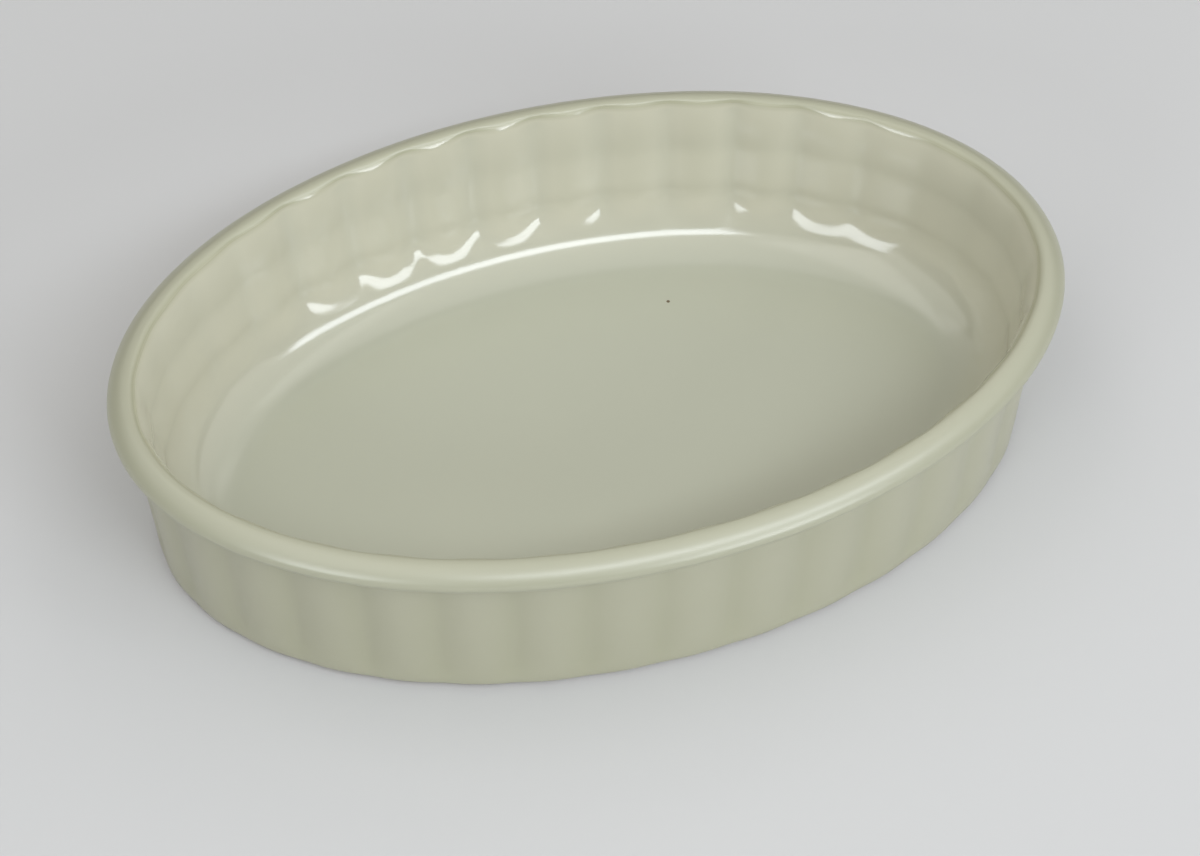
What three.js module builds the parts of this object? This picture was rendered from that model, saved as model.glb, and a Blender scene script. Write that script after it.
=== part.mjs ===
// Oval ramekin: a shallow fluted baking dish for one serving, in glazed stoneware.
// Millimetres. +Z is up and +X runs along the dish. The origin is the middle of the footprint,
// on the surface that the dish stands on.
import * as THREE from "three";

// The oval and the height, measured over the glaze.
const RIM_LENGTH = 140;
const RIM_WIDTH = 90;
const HEIGHT = 30.5;

// The rim: a rounded bead, standing out past the wall and running into it through a soft cove.
const RIM_RADIUS = 2.7;
const RIM_OVERHANG = 2.5;
const RIM_LOWER_RADIUS = 1.5;
const COVE_RADIUS = 2;

// The wall outside, which leans in towards the foot, and the flutes pressed into it.
const WALL_LEAN = 1.4;
const FLUTE_COUNT = 34;
const FLUTE_DEPTH = 0.7;
const FLUTE_RUN_OUT = 5;
// The first valley is turned from the end of the dish by this share of one flute.
const FLUTE_TURN = 0.25;

// The inside: a rim that rolls over softly, a wall with a crease behind each flute, and a wide round
// corner down to a flat floor.
const INNER_ROLL_WIDTH = 3.3;
const INNER_ROLL_HEIGHT = 6;
const INNER_WALL_LEAN = 0.2;
const CREASE_DEPTH = 0.42;
const FLOOR_LEVEL = 5;
const FLOOR_CORNER_RADIUS = 11;

// The foot: a bare ring around a shallow recess, below the line where the glaze ends.
const GLAZE_THICKNESS = 0.4;
const GLAZE_LINE = 1;
const FOOT_BEVEL = 1.6;
const FOOT_RING_WIDTH = 3.4;
const FOOT_RING_SLOPE = 0.8;
const RECESS_DEPTH = 0.9;
const RECESS_BARE_MARGIN = 1.6;

// How finely each round is cut.
const FACETS_PER_FLUTE = 4;
const SMALL_ROUND_FACETS = 2;
const INNER_ROUND_FACETS = 3;

const AROUND = FLUTE_COUNT * FACETS_PER_FLUTE;

// The rounds of the bead, from its top down: the lower round turns in as far as the cove turns back,
// and together they cross the overhang.
const rimMiddle = HEIGHT - RIM_RADIUS;
const lipTurn = Math.acos(1 - RIM_OVERHANG / (RIM_LOWER_RADIUS + COVE_RADIUS));
const wallTop = rimMiddle - (RIM_LOWER_RADIUS + COVE_RADIUS) * Math.sin(lipTurn);

// The share of a flute's depth at a place along it: 1 in a valley, 0 on a crest.
function scallop(turn) {
  return 1 - Math.abs(Math.sin(Math.PI * turn));
}

// The stations around the oval, evenly spaced along it, each with the way out and its place in a flute.
function ovalStations() {
  const halfLength = RIM_LENGTH / 2;
  const halfWidth = RIM_WIDTH / 2;
  const oval = new THREE.EllipseCurve(0, 0, halfLength, halfWidth);
  oval.arcLengthDivisions = 20 * AROUND;
  return Array.from({ length: AROUND }, (_, i) => {
    const turn = i / FACETS_PER_FLUTE;
    const share = (turn + FLUTE_TURN) / FLUTE_COUNT;
    const at = oval.getPointAt(share % 1);
    const out = new THREE.Vector2(at.x / halfLength ** 2, at.y / halfWidth ** 2).normalize();
    return { at, out, valley: scallop(turn) };
  });
}
const stations = ovalStations();

// One place on the section: how far in from the rim oval, how high, and how deep the flutes are there.
function place(inset, height, flute = 0) {
  return { inset, height, flute };
}

// A place on the upright axis, where a section begins or ends.
function centre(height) {
  return { inset: 0, height, flute: 0, onAxis: true };
}

// Places along an arc of the section, with flutes that change evenly from one depth to another.
function arc(inset, height, width, tall, from, to, steps, fluteFrom = 0, fluteTo = 0) {
  const clockwise = to < from;
  const curve = new THREE.EllipseCurve(inset, height, width, tall, from, to, clockwise);
  return curve.getPoints(steps).map((p, i) => {
    return place(p.x, p.y, THREE.MathUtils.lerp(fluteFrom, fluteTo, i / steps));
  });
}

// How far in the outer wall's crests are at a height.
function wallInset(height) {
  return RIM_OVERHANG + WALL_LEAN * (1 - height / wallTop);
}

// The glazed surface from the glaze line, up the outside, over the rim and down to the floor.
function glazedSection() {
  const wall = RIM_RADIUS + INNER_ROLL_WIDTH;
  const floorEdge = wall + INNER_WALL_LEAN + FLOOR_CORNER_RADIUS;
  const { PI } = Math;
  return [
    place(wallInset(GLAZE_LINE), GLAZE_LINE, FLUTE_DEPTH * 0.25),
    place(wallInset(GLAZE_LINE + FLUTE_RUN_OUT), GLAZE_LINE + FLUTE_RUN_OUT, FLUTE_DEPTH),
    ...arc(
      RIM_OVERHANG - COVE_RADIUS, wallTop, COVE_RADIUS, COVE_RADIUS,
      0, lipTurn, SMALL_ROUND_FACETS, FLUTE_DEPTH, FLUTE_DEPTH * 0.5,
    ),
    ...arc(
      RIM_LOWER_RADIUS, rimMiddle, RIM_LOWER_RADIUS, RIM_LOWER_RADIUS,
      PI + lipTurn, PI, SMALL_ROUND_FACETS, FLUTE_DEPTH * 0.5, 0,
    ).slice(1),
    ...arc(
      RIM_RADIUS, rimMiddle, RIM_RADIUS, RIM_RADIUS,
      PI, PI / 2, SMALL_ROUND_FACETS,
    ).slice(1),
    ...arc(
      RIM_RADIUS, HEIGHT - INNER_ROLL_HEIGHT, INNER_ROLL_WIDTH, INNER_ROLL_HEIGHT,
      PI / 2, 0, INNER_ROUND_FACETS, 0, -CREASE_DEPTH,
    ).slice(1),
    ...arc(
      floorEdge, FLOOR_LEVEL + FLOOR_CORNER_RADIUS, FLOOR_CORNER_RADIUS, FLOOR_CORNER_RADIUS,
      PI, PI * 1.5, INNER_ROUND_FACETS, -CREASE_DEPTH, 0,
    ),
    centre(FLOOR_LEVEL),
  ];
}

// The same section moved into the clay by the thickness of the glaze, square to itself.
function clayUnder(section) {
  return section.map((here, i) => {
    if (here.onAxis) return centre(here.height - GLAZE_THICKNESS);
    const before = section[Math.max(i - 1, 0)];
    const after = section[i + 1];
    const along = new THREE.Vector2(1, 0);
    if (!after.onAxis) along.set(after.inset - before.inset, after.height - before.height).normalize();
    const inset = here.inset + along.y * GLAZE_THICKNESS;
    return place(inset, here.height - along.x * GLAZE_THICKNESS, here.flute);
  });
}

// The bare foot, from the middle of the recess outwards and up to just below the glaze.
function footSection() {
  const outer = wallInset(0) + GLAZE_THICKNESS + FOOT_BEVEL;
  const inner = outer + FOOT_RING_WIDTH;
  const recess = RECESS_DEPTH + GLAZE_THICKNESS;
  return [
    centre(recess),
    place(inner + FOOT_RING_SLOPE, recess),
    place(inner, 0),
    place(outer, 0),
    place(outer - FOOT_BEVEL * 0.75, GLAZE_LINE * 0.35),
  ];
}

// The glaze in the recess: a thin flat patch, kept clear of the foot ring.
function recessPatchSection() {
  const ring = wallInset(0) + GLAZE_THICKNESS + FOOT_BEVEL + FOOT_RING_WIDTH;
  const edge = ring + FOOT_RING_SLOPE + RECESS_BARE_MARGIN;
  const clay = RECESS_DEPTH + GLAZE_THICKNESS;
  return [
    centre(RECESS_DEPTH),
    place(edge + GLAZE_THICKNESS, RECESS_DEPTH),
    place(edge, clay),
    centre(clay),
  ];
}

// The points around the oval at one place on the section.
function ring({ inset, height, flute }) {
  return stations.map(({ at, out, valley }) => {
    const reach = inset + flute * valley;
    return new THREE.Vector3(at.x - out.x * reach, at.y - out.y * reach, height);
  });
}

// A closed solid drawn round the oval along a section that begins and ends on the axis.
// Each four-sided patch is cut along its shorter diagonal, so two solids that share a surface
// share its facets too.
function loft(section) {
  const rings = section.filter((p) => !p.onAxis).map(ring);
  const first = new THREE.Vector3(0, 0, section[0].height);
  const last = new THREE.Vector3(0, 0, section[section.length - 1].height);
  const points = [first, ...rings.flat(), last];
  const end = points.length - 1;
  const faces = [];
  for (let i = 0; i < AROUND; i++) {
    const next = (i + 1) % AROUND;
    faces.push(0, 1 + next, 1 + i);
    for (let j = 0; j + 1 < rings.length; j++) {
      const a = 1 + j * AROUND + i;
      const b = 1 + j * AROUND + next;
      const c = b + AROUND;
      const d = a + AROUND;
      const acrossAC = points[a].distanceTo(points[c]);
      const acrossBD = points[b].distanceTo(points[d]);
      if (acrossAC < acrossBD) faces.push(a, b, c, a, c, d);
      else faces.push(a, b, d, b, c, d);
    }
    const top = 1 + (rings.length - 1) * AROUND;
    faces.push(end, top + i, top + next);
  }
  const geometry = new THREE.BufferGeometry().setFromPoints(points);
  geometry.setIndex(faces);
  geometry.computeVertexNormals();
  return geometry;
}

const glazed = glazedSection();
const clay = clayUnder(glazed);

const stoneware = new THREE.MeshStandardMaterial({ color: 0xd8cdb8, roughness: 0.85 });
const glaze = new THREE.MeshStandardMaterial({ color: 0xb4b59e, roughness: 0.12 });

function named(name, section, material) {
  const mesh = new THREE.Mesh(loft(section), material);
  mesh.name = name;
  return mesh;
}

const ramekin = new THREE.Group();
ramekin.name = "oval_ramekin";
ramekin.add(
  named("stoneware_body", [...footSection(), ...clay], stoneware),
  named("glaze_coat", [...clay.toReversed(), ...glazed], glaze),
  named("recess_glaze", recessPatchSection(), glaze),
);

export default ramekin;
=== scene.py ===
"""Oval ramekin: a fluted stoneware dish under a glossy pale glaze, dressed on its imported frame."""

import bisect
import logging
import math
from dataclasses import dataclass
from enum import Enum

import bmesh
import bpy
from mathutils import Matrix, Quaternion, Vector, noise


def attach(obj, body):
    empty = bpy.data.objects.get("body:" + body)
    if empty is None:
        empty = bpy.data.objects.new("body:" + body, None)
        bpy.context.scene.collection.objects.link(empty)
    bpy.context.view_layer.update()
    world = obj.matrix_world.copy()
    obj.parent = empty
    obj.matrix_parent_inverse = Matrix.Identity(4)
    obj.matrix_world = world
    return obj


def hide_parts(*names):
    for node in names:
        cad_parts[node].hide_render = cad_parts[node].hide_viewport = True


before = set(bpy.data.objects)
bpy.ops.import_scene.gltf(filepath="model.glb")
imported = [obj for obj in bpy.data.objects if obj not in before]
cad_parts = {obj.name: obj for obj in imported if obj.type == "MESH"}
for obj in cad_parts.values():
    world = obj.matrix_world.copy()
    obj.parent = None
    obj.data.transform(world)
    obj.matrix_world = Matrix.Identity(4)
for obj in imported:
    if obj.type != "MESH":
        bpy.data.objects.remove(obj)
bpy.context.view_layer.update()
MM = 0.001
QUARTER_TURN = math.pi / 2
OVAL_SAMPLES = 20000
VARIETY_SEED = (0.73, 4.1, 0.5)
SAME_POINT = 1e-7
TINY = 1e-6
LOG = logging.getLogger("oval_ramekin")
Colour = tuple[float, float, float, float]
Light = tuple[float, float, float]
Pair = tuple[float, float]
Station = tuple[Vector, Vector, float]
SKYLIGHT: Light = (0.88, 0.93, 1.0)
DAYLIGHT: Light = (0.9, 0.95, 1.0)
WARM_WHITE: Light = (1.0, 0.985, 0.95)


class Slot(Enum):
    """The material slots of the record."""

    STONEWARE = "stoneware"
    GLAZE = "glaze"


class Layer(Enum):
    """The point attributes that the pieces carry."""

    FLUTE = "flute_depth"
    # The glaze's pooling, which also picks the painted shade of the outside and rim and the painted
    # light on the inner wall.
    POOL_AND_SHADING = "glaze_pool_and_shading"


class PoolAndShading(Enum):
    """The values of the pooling attribute, which set the glaze's colour and gloss; the colours they
    pick also paint shade on the outside and the rim and light on the inner wall.
    """

    RIM = -1.0
    LIP = -0.6
    THIN = -0.5
    EVEN = 0.0
    OUTSIDE = 0.1
    INNER_WALL = 1.0
    FLOOR = 2.0


@dataclass(frozen=True)
class Steps:
    """How many edges each stretch of the section has."""

    wall: int = 6
    cove: int = 6
    lip: int = 6
    bead: int = 4
    roll: int = 14
    inner_wall: int = 5
    corner: int = 24
    floor: int = 6


@dataclass(frozen=True)
class DishForm:
    """The sizes of the dish over its glaze, in metres, and the fluted oval that they follow."""

    length: float = 140 * MM
    width: float = 90 * MM
    height: float = 30.5 * MM

    # The rim's rounds from its outermost line up to its crest: each radius, and the degrees it turns.
    bead: tuple[Pair, ...] = ((1.6 * MM, 40.0), (5.0 * MM, 25.0), (2.6 * MM, 25.0))
    rim_overhang: float = 2.5 * MM
    rim_lower_radius: float = 1.0 * MM
    cove_radius: float = 1.6 * MM

    # The outer wall and its flutes, which grow upwards: each share of the way, and of the depth there.
    wall_lean: float = 1.4 * MM
    flutes: int = 34
    flute_depth: float = 0.55 * MM
    flute_start: float = 0.25
    flute_run_out: float = 5.0 * MM
    flute_growth: tuple[Pair, ...] = ((0.25, 0.36), (0.5, 0.62), (0.75, 0.88), (1.0, 1.0))
    flute_at_cove: float = 0.5
    flute_turn: float = 0.25
    flute_variety: float = 0.3
    valley_softness: float = 0.28

    # The inside, with the shares of its rounds between which the creases begin and end.
    inner_roll_width: float = 2.5 * MM
    inner_roll_height: float = 9.0 * MM
    inner_wall_lean: float = 1.1 * MM
    floor_level: float = 5.0 * MM
    floor_corner_radius: float = 10.0 * MM
    crease_depth: float = 0.9 * MM
    crease_top: Pair = (0.04, 0.5)
    crease_bottom: Pair = (0.15, 0.46)
    roll_fill: float = 0.4

    # The creases are calmed towards the oval's ends, from a share of its length and over another.
    crease_calm: float = 0.75
    calm_start: float = 0.5
    calm_run: float = 0.4

    # The glaze, which thins on crests and pools in valleys.
    glaze_thickness: float = 0.4 * MM
    glaze_line: float = 1.0 * MM
    valley_pooling: float = 0.15
    even_valley: float = 0.35

    # The foot.
    foot_bevel: float = 1.6 * MM
    foot_ring_width: float = 3.4 * MM
    foot_ring_slope: float = 0.8 * MM
    recess_depth: float = 0.9 * MM
    recess_bare_margin: float = 1.6 * MM

    # The unevenness of a cast wall, which is less on the floor, and how finely the oval is cut.
    unevenness: float = 0.07 * MM
    waves: float = 55.0
    floor_unevenness: float = 0.5
    facets_per_flute: int = 16

    @property
    def reach(self) -> float:
        """Half the length: the radius that a section is spun at before it is made oval."""
        return self.length / 2

    @property
    def around(self) -> int:
        """The number of steps round the oval."""
        return self.flutes * self.facets_per_flute

    @property
    def lip_turn(self) -> float:
        """The angle, in radians, that the bead's lower round turns in and the cove turns back."""
        return math.acos(1 - self.rim_overhang / (self.rim_lower_radius + self.cove_radius))

    @property
    def rim_width(self) -> float:
        """How far in the rim's crest is, across the rounds of the bead."""
        return self._bead_span()[0]

    @property
    def rim_middle(self) -> float:
        """The height where the bead stands out furthest, between its upper and lower rounds."""
        return self.height - self._bead_span()[1]

    @property
    def wall_top(self) -> float:
        """The height where the outer wall runs into the cove."""
        return self.rim_middle - (self.rim_lower_radius + self.cove_radius) * math.sin(self.lip_turn)

    @property
    def floor_edge(self) -> float:
        """How far in the flat floor begins."""
        wall = self.rim_width + self.inner_roll_width + self.inner_wall_lean
        return wall + self.floor_corner_radius

    def _bead_span(self) -> Pair:
        """Adds up the rounds of the bead.

        Returns:
            How far in and how far up the rim's crest is from the bead's outermost line.
        """
        width, rise, tilt = 0.0, 0.0, QUARTER_TURN
        for radius, turned in self.bead:
            after = tilt - math.radians(turned)
            width += radius * (math.sin(tilt) - math.sin(after))
            rise += radius * (math.cos(after) - math.cos(tilt))
            tilt = after
        return width, rise

    def wall_inset(self, height: float) -> float:
        """How far in the crests of the outer wall are.

        Args:
            height: the height above the table, in metres.

        Returns:
            The distance in from the rim's outline, in metres.
        """
        return self.rim_overhang + self.wall_lean * (1 - height / self.wall_top)

    def stations(self) -> list[Station]:
        """Evenly spaced places along the oval.

        Returns:
            For each step round the oval: its point, the way out there, and how deep the flute is,
            from 0 on a crest to about 1 in a valley.
        """
        across, along = self.width / 2, self.length / 2
        angles = [2 * math.pi * i / OVAL_SAMPLES for i in range(OVAL_SAMPLES + 1)]
        lengths = [0.0]
        for here, there in zip(angles, angles[1:]):
            step_x = along * (math.cos(there) - math.cos(here))
            step_y = across * (math.sin(there) - math.sin(here))
            lengths.append(lengths[-1] + math.hypot(step_x, step_y))
        found = []
        for i in range(self.around):
            wanted = lengths[-1] * i / self.around
            angle = angles[bisect.bisect_left(lengths, wanted)]
            point = Vector((along * math.cos(angle), across * math.sin(angle), 0))
            out = Vector((math.cos(angle) / along, math.sin(angle) / across, 0)).normalized()
            turn = i / self.facets_per_flute - self.flute_turn
            found.append((point, out, self._scallop(turn) * self._variety(turn)))
        return found

    def _scallop(self, turn: float) -> float:
        """The share of the flutes' depth at a place along them.

        Args:
            turn: the place, where each whole number is the middle of a valley.

        Returns:
            1 in a valley and 0 on a crest, with the valley's bottom softened by the glaze.
        """
        soft = self.valley_softness
        sine = math.sqrt(math.sin(math.pi * turn) ** 2 + soft**2)
        return (math.sqrt(1 + soft**2) - sine) / (math.sqrt(1 + soft**2) - soft)

    def _variety(self, turn: float) -> float:
        """How deep one flute is beside the others.

        Args:
            turn: a place in the flute, where each whole number is the middle of a valley.

        Returns:
            The flute's depth as a share of the usual one.
        """
        flute = round(turn) % self.flutes
        seed = Vector((flute * VARIETY_SEED[0], VARIETY_SEED[1], VARIETY_SEED[2]))
        return 1 + self.flute_variety * noise.noise(seed)


def ease(share: float) -> float:
    """Turns an even change into one that starts and ends softly.

    Args:
        share: how far along the change is.

    Returns:
        The eased share, from 0 to 1.
    """
    held = min(1.0, max(0.0, share))
    return held * held * (3 - 2 * held)


def towards(azimuth: float, elevation: float) -> Vector:
    """The way from the dish to a place around it.

    Args:
        azimuth: the degrees round from the front, towards the right.
        elevation: the degrees up.

    Returns:
        A vector of length one.
    """
    turn, rise = math.radians(azimuth), math.radians(elevation)
    level = math.cos(rise)
    return Vector((math.sin(turn) * level, -math.cos(turn) * level, math.sin(rise)))


class Section:
    """The outline of a wall in the upright plane, drawn by pushing out or turning its last point."""

    def __init__(self, form: DishForm, inset: float, height: float) -> None:
        """Starts the outline.

        Args:
            form: the dish that the outline belongs to.
            inset: how far in from the rim's outline the first point is.
            height: the first point's height.
        """
        self.form = form
        self.steps = Steps()
        self.mesh = bmesh.new()
        self.flute = self.mesh.verts.layers.float.new(Layer.FLUTE.value)
        self.pool_and_shading = self.mesh.verts.layers.float.new(Layer.POOL_AND_SHADING.value)
        self.tip = self.mesh.verts.new((form.reach - inset, 0, height))

    def mark(self, flute: float, pool_and_shading: float) -> None:
        """Sets the flutes' depth and the glaze's pooling, with the painted shading that it picks, at
        the last point.
        """
        self.tip[self.flute] = flute
        self.tip[self.pool_and_shading] = pool_and_shading

    def line_to(
        self,
        inset: float,
        height: float,
        flute: float = 0.0,
        pool_and_shading: PoolAndShading = PoolAndShading.EVEN,
        steps: int = 1,
    ) -> "Section":
        """Draws a straight stretch.

        Args:
            inset: how far in the end is.
            height: the end's height.
            flute: the flutes' depth at the end.
            pool_and_shading: the glaze's pooling at the end.
            steps: how many edges the stretch has.

        Returns:
            The outline.
        """
        start = self.tip.co.copy()
        goal = Vector((self.form.reach - inset, 0, height))
        was = (self.tip[self.flute], self.tip[self.pool_and_shading])
        for step in range(1, steps + 1):
            share = step / steps
            self.tip = bmesh.ops.extrude_vert_indiv(self.mesh, verts=[self.tip])["verts"][0]
            self.tip.co = start.lerp(goal, share)
            self.mark(was[0] + (flute - was[0]) * share, was[1] + (pool_and_shading.value - was[1]) * share)
        return self

    def turn(
        self,
        centre: Pair,
        sweep: float,
        flute: float,
        pool_and_shading: PoolAndShading,
        steps: int,
        stretch: Pair = (1.0, 1.0),
        settle: Pair = (0.0, 1.0),
        fill: float = 1.0,
    ) -> "Section":
        """Draws an arc about a centre.

        Args:
            centre: how far in the centre is, and its height.
            sweep: the angle turned, in radians, positive from outwards to upwards.
            flute: the flutes' depth at the end.
            pool_and_shading: the glaze's pooling at the end.
            steps: how many edges the arc has.
            stretch: how much wider and taller than round the arc is.
            settle: the shares of the arc between which the flutes come to their end.
            fill: the share of the arc in which the pooling comes to its end.

        Returns:
            The outline.
        """
        count = len(self.mesh.verts)
        was = (self.tip[self.flute], self.tip[self.pool_and_shading])
        middle = Vector((self.form.reach - centre[0], 0, centre[1]))
        bmesh.ops.spin(
            self.mesh, geom=[self.tip], cent=middle, axis=(0, 1, 0), angle=-sweep, steps=steps
        )
        self.mesh.verts.ensure_lookup_table()
        drawn = self.mesh.verts[count:]
        wider = (stretch[0], 1, stretch[1])
        bmesh.ops.scale(self.mesh, vec=wider, space=Matrix.Translation(-middle), verts=drawn)
        for step, vert in enumerate(drawn, 1):
            self.tip = vert
            share = step / steps
            flown = ease((share - settle[0]) / (settle[1] - settle[0]))
            filled = ease(share / fill)
            self.mark(was[0] + (flute - was[0]) * flown, was[1] + (pool_and_shading.value - was[1]) * filled)
        return self

    def up_and_over(self, sink: float) -> "Section":
        """Draws the wall from the glaze line up the outside, over the rim and down to the floor.

        Args:
            sink: how far under the glazed surface the outline runs, in metres.

        Returns:
            The outline.
        """
        self._up_the_outside(sink)
        self._over_the_rim(sink)
        self._down_to_the_floor(sink)
        return self

    def _up_the_outside(self, sink: float) -> None:
        """Draws the fluted wall and the cove above it.

        Args:
            sink: how far under the glazed surface the outline runs, in metres.
        """
        form, steps = self.form, self.steps
        deep = form.flute_depth
        lean = math.atan2(form.wall_lean, form.wall_top)
        cove = form.cove_radius + sink
        centre = (form.rim_overhang - form.cove_radius, form.wall_top)
        self.mark(deep * form.flute_start, PoolAndShading.OUTSIDE.value)
        for share, grown in form.flute_growth:
            height = form.glaze_line + form.flute_run_out * share
            self.line_to(form.wall_inset(height) + sink, height, deep * grown, PoolAndShading.OUTSIDE)
        inset = centre[0] + cove * math.cos(lean)
        height = centre[1] + cove * math.sin(lean)
        self.line_to(inset, height, deep, PoolAndShading.OUTSIDE, steps.wall)
        self.turn(centre, lean - form.lip_turn, deep * form.flute_at_cove, PoolAndShading.EVEN, steps.cove)

    def _over_the_rim(self, sink: float) -> None:
        """Draws the bead, from its lower round to its crest.

        Args:
            sink: how far under the glazed surface the outline runs, in metres.
        """
        form, steps = self.form, self.steps
        self.turn((form.rim_lower_radius, form.rim_middle), form.lip_turn, 0.0, PoolAndShading.LIP, steps.lip)
        tilt = QUARTER_TURN
        for radius, turned in form.bead:
            arm, sweep = radius - sink, math.radians(turned)
            inset = form.reach - self.tip.co.x + arm * math.sin(tilt)
            height = self.tip.co.z - arm * math.cos(tilt)
            self.turn((inset, height), sweep, 0.0, PoolAndShading.RIM, steps.bead)
            tilt -= sweep

    def _down_to_the_floor(self, sink: float) -> None:
        """Draws the roll inside the rim, the creased wall, the round corner and the floor.

        Args:
            sink: how far under the glazed surface the outline runs, in metres.
        """
        form, steps = self.form, self.steps
        rim, crease = form.rim_width, -form.crease_depth
        wide, tall = form.inner_roll_width - sink, form.inner_roll_height - sink
        self.turn(
            (rim, form.height - tall - sink),
            QUARTER_TURN,
            crease,
            PoolAndShading.INNER_WALL,
            steps.roll,
            stretch=(wide / tall, 1.0),
            settle=form.crease_top,
            fill=form.roll_fill,
        )
        wall = rim + form.inner_roll_width + form.inner_wall_lean - sink
        corner = (form.floor_edge, form.floor_level + form.floor_corner_radius)
        self.line_to(wall, corner[1], crease, PoolAndShading.INNER_WALL, steps.inner_wall)
        self.turn(
            corner, -QUARTER_TURN, 0.0, PoolAndShading.FLOOR, steps.corner, settle=form.crease_bottom
        )
        self.line_to(form.reach, form.floor_level - sink, 0.0, PoolAndShading.FLOOR, steps.floor)

    def revolve(self) -> bmesh.types.BMesh:
        """Spins the outline about the upright axis and presses it into the fluted oval.

        Returns:
            The spun mesh, with its seam and poles closed and its faces turned out.
        """
        mesh, form = self.mesh, self.form
        bmesh.ops.spin(
            mesh,
            geom=mesh.verts[:] + mesh.edges[:],
            cent=(0, 0, 0),
            axis=(0, 0, 1),
            angle=2 * math.pi,
            steps=form.around,
            use_merge=True,
        )
        bmesh.ops.remove_doubles(mesh, verts=mesh.verts[:], dist=SAME_POINT)
        stations = form.stations()
        for vert in mesh.verts:
            self._press(vert, stations)
        bmesh.ops.recalc_face_normals(mesh, faces=mesh.faces[:])
        return mesh

    def _press(self, vert: bmesh.types.BMVert, stations: list[Station]) -> None:
        """Moves one spun point to its place on the fluted oval.

        Args:
            vert: the point, still on its circle.
            stations: the places along the oval.
        """
        form = self.form
        radius = math.hypot(vert.co.x, vert.co.y)
        height = vert.co.z
        if radius < TINY:
            vert.co = (0, 0, height)
            return
        turned = math.atan2(vert.co.y, vert.co.x) / (2 * math.pi)
        point, out, valley = stations[round(turned * form.around) % form.around]
        inset = form.reach - radius
        edge = form.floor_edge
        flat = point - out * min(inset, edge)
        if inset > edge:
            flat = flat * (radius / (form.reach - edge))
        flute = vert[self.flute]
        if flute < 0:
            past = abs(point.x) / form.reach - form.calm_start
            flute *= 1 - form.crease_calm * ease(past / form.calm_run)
        flat -= out * flute * valley
        thicker = form.valley_pooling * (valley - form.even_valley)
        vert[self.pool_and_shading] -= thicker * flute / form.flute_depth
        wave = form.unevenness * noise.noise(Vector((flat.x, flat.y, height)) * form.waves)
        if inset < edge:
            flat -= out * wave
        elif height > form.glaze_line:
            height += wave * form.floor_unevenness
        vert.co = (flat.x, flat.y, height)


def make_piece(
    mesh: bmesh.types.BMesh, name: str, material: bpy.types.Material
) -> bpy.types.Object:
    """Turns a finished mesh into a smooth piece that rides on the part.

    Args:
        mesh: the mesh, which is freed.
        name: the piece's name.
        material: its finish.

    Returns:
        The new object, at the origin.
    """
    data = bpy.data.meshes.new(name)
    mesh.to_mesh(data)
    mesh.free()
    data.shade_smooth()
    data.materials.append(material)
    piece = bpy.data.objects.new(name, data)
    bpy.context.scene.collection.objects.link(piece)
    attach(piece, "root")
    LOG.info("%s: %d faces", name, len(data.polygons))
    return piece


class NodeBoard:
    """A small helper that places and links a material's nodes."""

    def __init__(self, name: str) -> None:
        """Starts an empty material.

        Args:
            name: the material's name.
        """
        self.material = bpy.data.materials.new(name)
        self.material.use_nodes = True
        self.tree = self.material.node_tree
        self.tree.nodes.clear()
        self.shader = self.add("ShaderNodeBsdfPrincipled")
        out = self.add("ShaderNodeOutputMaterial")
        self.link(self.shader, "BSDF", out, "Surface")

    def add(self, kind: str, **inputs: object) -> bpy.types.Node:
        """Adds a node and sets its input sockets by name.

        Args:
            kind: the node's type.
            **inputs: socket values, with underscores for spaces.

        Returns:
            The node.
        """
        node = self.tree.nodes.new(kind)
        for name, value in inputs.items():
            node.inputs[name.replace("_", " ")].default_value = value
        return node

    def link(
        self, source: bpy.types.Node, output: str | int, target: bpy.types.Node, socket: str | int
    ) -> None:
        """Links one node's output to another's input."""
        self.tree.links.new(source.outputs[output], target.inputs[socket])

    def math(
        self,
        operation: str,
        source: bpy.types.Node,
        output: str,
        second: float | bpy.types.Node,
        clamp: bool = False,
    ) -> bpy.types.Node:
        """Adds a Math node on one value.

        Args:
            operation: the operation's name.
            source: the node that gives the first value.
            output: its output socket.
            second: the second value, or a node whose first output gives it.
            clamp: whether the result is held between 0 and 1.

        Returns:
            The Math node.
        """
        node = self.tree.nodes.new("ShaderNodeMath")
        node.operation = operation
        node.use_clamp = clamp
        self.link(source, output, node, 0)
        if isinstance(second, bpy.types.Node):
            self.link(second, 0, node, 1)
        else:
            node.inputs[1].default_value = second
        return node

    def remap(self, source: bpy.types.Node, span: Pair, result: Pair) -> bpy.types.Node:
        """Adds a Map Range node on an attribute's value.

        Args:
            source: the Attribute node.
            span: the values that the range runs between.
            result: what they become.

        Returns:
            The Map Range node, whose value comes from its socket Result.
        """
        node = self.tree.nodes.new("ShaderNodeMapRange")
        self.link(source, "Fac", node, 0)
        for socket, value in enumerate(span + result, 1):
            node.inputs[socket].default_value = value
        return node

    def mix(
        self,
        factor: bpy.types.Node,
        output: str,
        first: Colour | bpy.types.Node,
        second: Colour,
    ) -> bpy.types.Node:
        """Adds a colour mix.

        Args:
            factor: the node that gives the share of the second colour.
            output: its output socket.
            first: the first colour, or a mix that gives it.
            second: the second colour.

        Returns:
            The Mix node, whose colour comes from its third output.
        """
        node = self.tree.nodes.new("ShaderNodeMix")
        node.data_type = "RGBA"
        self.link(factor, output, node, 0)
        if isinstance(first, bpy.types.Node):
            self.link(first, 2, node, 6)
        else:
            node.inputs[6].default_value = first
        node.inputs[7].default_value = second
        return node


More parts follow.
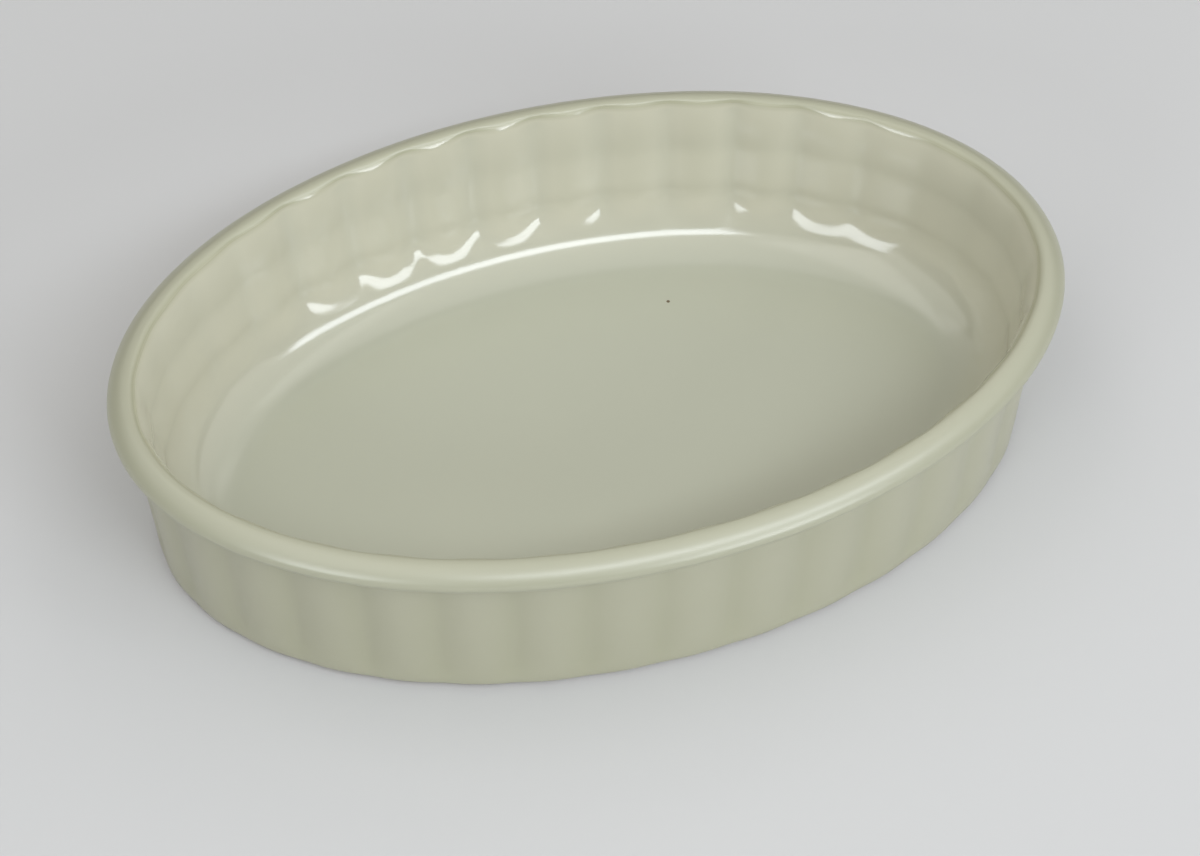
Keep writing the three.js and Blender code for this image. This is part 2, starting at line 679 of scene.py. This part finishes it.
@dataclass(frozen=True)
class GlazeFinish:
    """Glossy pale sage glaze, greener on the floor, with a few iron specks; the inner walls are
    lighter and warmer, partly thin glaze and partly painted light, and the outside and the rim are
    darkened with painted shade.
    """

    # The outside and the rim are darkened with painted shade; the inner wall is lightened with painted
    # light as well as warmed by thin glaze.
    outside: Colour = (0.413, 0.405, 0.282, 1)
    rim: Colour = (0.396, 0.394, 0.29, 1)
    inner_wall: Colour = (0.571, 0.552, 0.436, 1)
    floor: Colour = (0.44, 0.449, 0.358, 1)
    speck: Colour = (0.12, 0.085, 0.05, 1)
    outside_roughness: float = 0.31
    wall_roughness: float = 0.12
    floor_roughness: float = 0.2
    refraction: float = 1.66

    # The pooling over which the gloss turns to the inner wall's, and then to the floor's.
    wall_gloss: Pair = (0.15, 0.5)
    floor_gloss: Pair = (1.6, 1.97)

    cloud_scale: float = 55.0
    cloud_drift: float = 0.2
    speck_scale: float = 85.0
    speck_size: float = 0.026
    speck_share: float = 0.16
    speck_shift: tuple[float, float, float] = (-29.34 * MM, -29.88 * MM, 0.0)
    ripple: float = 0.02
    ripple_scale: float = 260.0
    ripple_height: float = 0.6 * MM

    def build(self) -> bpy.types.Material:
        """Makes the material.

        Returns:
            The material, whose gloss and colour, painted shade and light included, follow the pooling
            attribute.
        """
        board = NodeBoard("sage_glaze")
        place = board.add("ShaderNodeTexCoord")
        pool_and_shading = board.add("ShaderNodeAttribute")
        pool_and_shading.attribute_name = Layer.POOL_AND_SHADING.value
        colour = self._speckle(board, place, self._tint(board, place, pool_and_shading))
        board.link(colour, 2, board.shader, "Base Color")
        wall = board.remap(pool_and_shading, self.wall_gloss, (self.outside_roughness, self.wall_roughness))
        more = self.floor_roughness - self.wall_roughness
        floor = board.remap(pool_and_shading, self.floor_gloss, (0.0, more))
        rough = board.math("ADD", wall, "Result", floor)
        board.link(rough, "Value", board.shader, "Roughness")
        board.shader.inputs["IOR"].default_value = self.refraction
        wave = board.add("ShaderNodeTexNoise", Scale=self.ripple_scale, Detail=2.0)
        board.link(place, "Object", wave, "Vector")
        bump = board.add("ShaderNodeBump", Strength=self.ripple, Distance=self.ripple_height)
        board.link(wave, "Fac", bump, "Height")
        board.link(bump, "Normal", board.shader, "Normal")
        return board.material

    def _tint(
        self, board: NodeBoard, place: bpy.types.Node, pool_and_shading: bpy.types.Node
    ) -> bpy.types.Node:
        """Mixes the glaze's colours by how it pools, with a slight drift; the outside and rim colours
        carry painted shade and the inner wall's painted light.

        Args:
            board: the material's nodes.
            place: the Texture Coordinate node.
            pool_and_shading: the pooling attribute's node.

        Returns:
            The last Mix node.
        """
        cloud = board.add("ShaderNodeTexNoise", Scale=self.cloud_scale, Detail=3.0, Roughness=0.5)
        board.link(place, "Object", cloud, "Vector")
        drift = board.math("MULTIPLY_ADD", cloud, "Fac", self.cloud_drift)
        drift.inputs[2].default_value = -self.cloud_drift / 2
        depth = board.math("ADD", pool_and_shading, "Fac", drift)
        # Shares of the inner wall's colour, with its painted light, of the floor's, and of the rim's,
        # with its painted shade.
        lined = board.math("MULTIPLY", depth, "Value", 1.0, clamp=True)
        pooled = board.math("SUBTRACT", depth, "Value", 1.0, clamp=True)
        raised = board.math("MULTIPLY", depth, "Value", -1.0, clamp=True)
        # The outside's colour here carries painted shade.
        body = board.mix(lined, "Value", self.outside, self.inner_wall)
        body = board.mix(pooled, "Value", body, self.floor)
        return board.mix(raised, "Value", body, self.rim)

    def _speckle(
        self, board: NodeBoard, place: bpy.types.Node, body: bpy.types.Node
    ) -> bpy.types.Node:
        """Drops a few specks on the colour.

        Args:
            board: the material's nodes.
            place: the Texture Coordinate node.
            body: the Mix node of the plain glaze.

        Returns:
            The Mix node of the specked glaze.
        """
        moved = board.add("ShaderNodeMapping", Location=self.speck_shift)
        board.link(place, "Object", moved, "Vector")
        spots = board.add("ShaderNodeTexVoronoi", Scale=self.speck_scale)
        board.link(moved, "Vector", spots, "Vector")
        near = board.math("LESS_THAN", spots, "Distance", self.speck_size)
        pick = board.add("ShaderNodeSeparateColor")
        board.link(spots, "Color", pick, 0)
        chosen = board.math("LESS_THAN", pick, "Red", self.speck_share)
        both = board.math("MULTIPLY", near, "Value", chosen)
        return board.mix(both, "Value", body, self.speck)


@dataclass(frozen=True)
class StonewareFinish:
    """Bare fired clay: pale buff, dry, with fine grit and darker grains."""

    pale: Colour = (0.62, 0.53, 0.41, 1)
    dark: Colour = (0.47, 0.38, 0.28, 1)
    grain: Colour = (0.2, 0.14, 0.09, 1)
    roughness: float = 0.86
    cloud_scale: float = 140.0
    grit_scale: float = 900.0
    grain_size: float = 0.16
    grit: float = 0.5
    grit_height: float = 0.2 * MM

    def build(self) -> bpy.types.Material:
        """Makes the material.

        Returns:
            The material.
        """
        board = NodeBoard("bare_stoneware")
        place = board.add("ShaderNodeTexCoord")
        cloud = board.add("ShaderNodeTexNoise", Scale=self.cloud_scale, Detail=5.0, Roughness=0.6)
        board.link(place, "Object", cloud, "Vector")
        body = board.mix(cloud, "Fac", self.pale, self.dark)
        grit = board.add("ShaderNodeTexVoronoi", Scale=self.grit_scale)
        board.link(place, "Object", grit, "Vector")
        near = board.math("LESS_THAN", grit, "Distance", self.grain_size)
        grains = board.mix(near, "Value", body, self.grain)
        board.link(grains, 2, board.shader, "Base Color")
        board.shader.inputs["Roughness"].default_value = self.roughness
        bump = board.add("ShaderNodeBump", Strength=self.grit, Distance=self.grit_height)
        board.link(grit, "Distance", bump, "Height")
        board.link(bump, "Normal", board.shader, "Normal")
        return board.material


@dataclass
class GlazeCoat:
    """The glaze over the inside, the rim and the outside, down to a rolled edge above the foot."""

    form: DishForm
    edge_round: float = 0.25 * MM
    edge_segments: int = 3

    # An edge is rounded if it turns by more than this, in radians, beside a face that looks out.
    sharp_turn: float = 1.0
    facing_out: float = 0.7

    def build(self, material: bpy.types.Material) -> bpy.types.Object:
        """Makes the coat as a closed skin of its own thickness.

        Args:
            material: the glaze's finish.

        Returns:
            The piece.
        """
        form = self.form
        start = form.wall_inset(form.glaze_line)
        mesh = Section(form, start, form.glaze_line).up_and_over(0.0).revolve()
        bmesh.ops.solidify(mesh, geom=mesh.faces[:], thickness=form.glaze_thickness)
        self._round_edge(mesh)
        piece = make_piece(mesh, "glaze_coat_skin", material)
        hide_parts("glaze_coat")
        return piece

    def _round_edge(self, mesh: bmesh.types.BMesh) -> None:
        """Rounds the lower outer edge, where the glaze stopped running.

        Args:
            mesh: the closed skin.
        """
        form = self.form
        low = form.glaze_line + TINY
        loop = []
        for edge in mesh.edges:
            if any(vert.co.z > low for vert in edge.verts):
                continue
            if edge.calc_face_angle(0.0) < self.sharp_turn:
                continue
            middle = (edge.verts[0].co + edge.verts[1].co) / 2
            out = Vector((middle.x / form.length**2, middle.y / form.width**2, 0)).normalized()
            if any(face.normal.dot(out) > self.facing_out for face in edge.link_faces):
                loop.append(edge)
        LOG.info("glaze edge: %d edges", len(loop))
        bmesh.ops.bevel(
            mesh,
            geom=loop,
            offset=self.edge_round,
            segments=self.edge_segments,
            profile=0.5,
            affect="EDGES",
            material=-1,
        )


@dataclass
class StonewareBody:
    """The fired clay under the glaze, bare at the foot ring and around the recess."""

    form: DishForm

    # The ring's inner edge, how far in and up, and how much its flat face is narrowed on each side.
    inner_edge: Pair = (0.2 * MM, 0.25 * MM)
    narrowed: Pair = (0.3 * MM, 0.4 * MM)

    # The bevel outside the ring: the share of its width, the height, and the flutes' depth there.
    bevel: tuple[tuple[float, float, float], ...] = (
        (0.5, 0.12 * MM, 0.05 * MM),
        (0.75, 0.35 * MM, 0.1 * MM),
    )
    flute_at_glaze: float = 0.2 * MM

    def build(self, material: bpy.types.Material) -> bpy.types.Object:
        """Makes the clay.

        Args:
            material: the bare clay's finish.

        Returns:
            The piece.
        """
        form = self.form
        sink = form.glaze_thickness
        outer = form.wall_inset(0) + sink + form.foot_bevel
        inner = outer + form.foot_ring_width
        recess = form.recess_depth + sink
        clay = Section(form, form.reach, recess)
        clay.line_to(inner + form.foot_ring_slope, recess, steps=4)
        clay.line_to(inner + self.inner_edge[0], self.inner_edge[1])
        clay.line_to(inner - self.narrowed[0], 0.0)
        clay.line_to(outer + self.narrowed[1], 0.0, steps=3)
        for share, height, flute in self.bevel:
            clay.line_to(outer - share * form.foot_bevel, height, flute)
        line = form.glaze_line
        clay.line_to(form.wall_inset(line) + sink, line, self.flute_at_glaze, steps=2)
        mesh = clay.up_and_over(sink).revolve()
        piece = make_piece(mesh, "stoneware_clay", material)
        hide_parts("stoneware_body")
        return piece


@dataclass
class RecessGlaze:
    """The patch of glaze in the recess under the floor, kept clear of the foot ring."""

    form: DishForm

    def build(self, material: bpy.types.Material) -> bpy.types.Object:
        """Makes the patch.

        Args:
            material: the glaze's finish.

        Returns:
            The piece.
        """
        form = self.form
        thick = form.glaze_thickness
        ring = form.wall_inset(0) + thick + form.foot_bevel + form.foot_ring_width
        rounded = ring + form.foot_ring_slope + form.recess_bare_margin + thick
        top = form.recess_depth + thick
        patch = Section(form, form.reach, form.recess_depth)
        patch.line_to(rounded, form.recess_depth, steps=4)
        patch.turn((rounded, top), QUARTER_TURN, 0.0, PoolAndShading.THIN, 5)
        patch.line_to(form.reach, top, steps=2)
        piece = make_piece(patch.revolve(), "recess_glaze_patch", material)
        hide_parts("recess_glaze")
        return piece


@dataclass(frozen=True)
class SoftBox:
    """One rectangular studio light, a metre from the dish and facing it."""

    name: str
    azimuth: float
    elevation: float
    size: Pair
    brightness: float
    colour: Light
    roll: float = 0.0

    def build(self) -> bpy.types.Object:
        """Makes the light.

        Returns:
            The light, turned to the dish.
        """
        light = bpy.data.lights.new(self.name, "AREA")
        light.shape = "RECTANGLE"
        light.size, light.size_y = self.size
        light.energy = math.pi * self.size[0] * self.size[1] * self.brightness
        light.color = self.colour
        lamp = bpy.data.objects.new(self.name, light)
        lamp.location = towards(self.azimuth, self.elevation)
        facing = (-lamp.location).to_track_quat("-Z", "Y")
        rolled = facing @ Quaternion((0, 0, 1), math.radians(self.roll))
        lamp.rotation_euler = rolled.to_euler()
        bpy.context.scene.collection.objects.link(lamp)
        return lamp


@dataclass
class Studio:
    """The pale floor, the soft light and the camera."""

    azimuth: float = -16.627
    elevation: float = 50.46
    distance: float = 0.434831
    focal_pixels: float = 2892.286
    centre_pixels: Pair = (594.678, 449.11)
    picture: tuple[int, int] = (1200, 856)
    sensor_width: float = 36.0
    nearest: float = 0.01
    floor_size: float = 6.0
    floor_colour: Colour = (0.58, 0.58, 0.58, 1)
    floor_roughness: float = 0.9
    room_light: float = 0.02
    boxes: tuple[SoftBox, ...] = (
        SoftBox("window_upper", 22.0, 48.0, (1.05, 0.17), 7.6, SKYLIGHT, -12.0),
        SoftBox("window_lower", 25.0, 21.0, (0.46, 0.32), 6.6, DAYLIGHT),
        SoftBox("left_lamp", -47.0, 24.0, (0.38, 0.32), 5.4, DAYLIGHT),
        SoftBox("ceiling", -20.0, 78.0, (1.2, 1.2), 0.82, WARM_WHITE),
        SoftBox("back_wall", 180.0, 40.0, (1.4, 0.9), 0.5, WARM_WHITE),
        SoftBox("left_wall", -95.0, 55.0, (1.2, 0.9), 0.84, WARM_WHITE),
        SoftBox("right_wall", 95.0, 45.0, (1.2, 0.9), 0.85, WARM_WHITE),
    )

    def build(self) -> None:
        """Makes the whole set."""
        self._floor()
        self._sky()
        for box in self.boxes:
            box.build()
        self._camera()
        bpy.context.scene.view_settings.view_transform = "Standard"

    def _floor(self) -> None:
        """Lays a plain pale floor under the dish."""
        mesh = bmesh.new()
        bmesh.ops.create_grid(mesh, x_segments=1, y_segments=1, size=self.floor_size / 2)
        data = bpy.data.meshes.new("studio_floor")
        mesh.to_mesh(data)
        mesh.free()
        board = NodeBoard("pale_floor")
        board.shader.inputs["Base Color"].default_value = self.floor_colour
        board.shader.inputs["Roughness"].default_value = self.floor_roughness
        data.materials.append(board.material)
        floor = bpy.data.objects.new("studio_floor", data)
        bpy.context.scene.collection.objects.link(floor)

    def _sky(self) -> None:
        """Fills the room with even white light."""
        world = bpy.data.worlds.new("white_room")
        world.use_nodes = True
        ground = world.node_tree.nodes["Background"]
        ground.inputs["Color"].default_value = (1, 1, 1, 1)
        ground.inputs["Strength"].default_value = self.room_light
        bpy.context.scene.world = world

    def _camera(self) -> None:
        """Sets the camera at the angle of the photograph."""
        turn = math.radians(self.azimuth)
        back = towards(self.azimuth, self.elevation)
        right = Vector((math.cos(turn), math.sin(turn), 0))
        up = back.cross(right)
        scale = self.distance / self.focal_pixels
        aside = (self.picture[0] / 2 - self.centre_pixels[0]) * scale
        above = (self.centre_pixels[1] - self.picture[1] / 2) * scale
        aim = right * aside + up * above
        data = bpy.data.cameras.new("photo_camera")
        data.sensor_width = self.sensor_width
        data.lens = self.focal_pixels * self.sensor_width / self.picture[0]
        data.clip_start = self.nearest
        camera = bpy.data.objects.new("photo_camera", data)
        camera.location = back * self.distance
        camera.rotation_euler = (aim - camera.location).to_track_quat("-Z", "Y").to_euler()
        bpy.context.scene.collection.objects.link(camera)
        bpy.context.scene.camera = camera


def main() -> None:
    """Builds the dish's three pieces and the studio."""
    logging.basicConfig(level=logging.INFO, format="%(message)s")
    form = DishForm()
    glaze = GlazeFinish().build()
    GlazeCoat(form).build(glaze)
    StonewareBody(form).build(StonewareFinish().build())
    RecessGlaze(form).build(glaze)
    Studio().build()


if __name__ == "__main__":
    main()
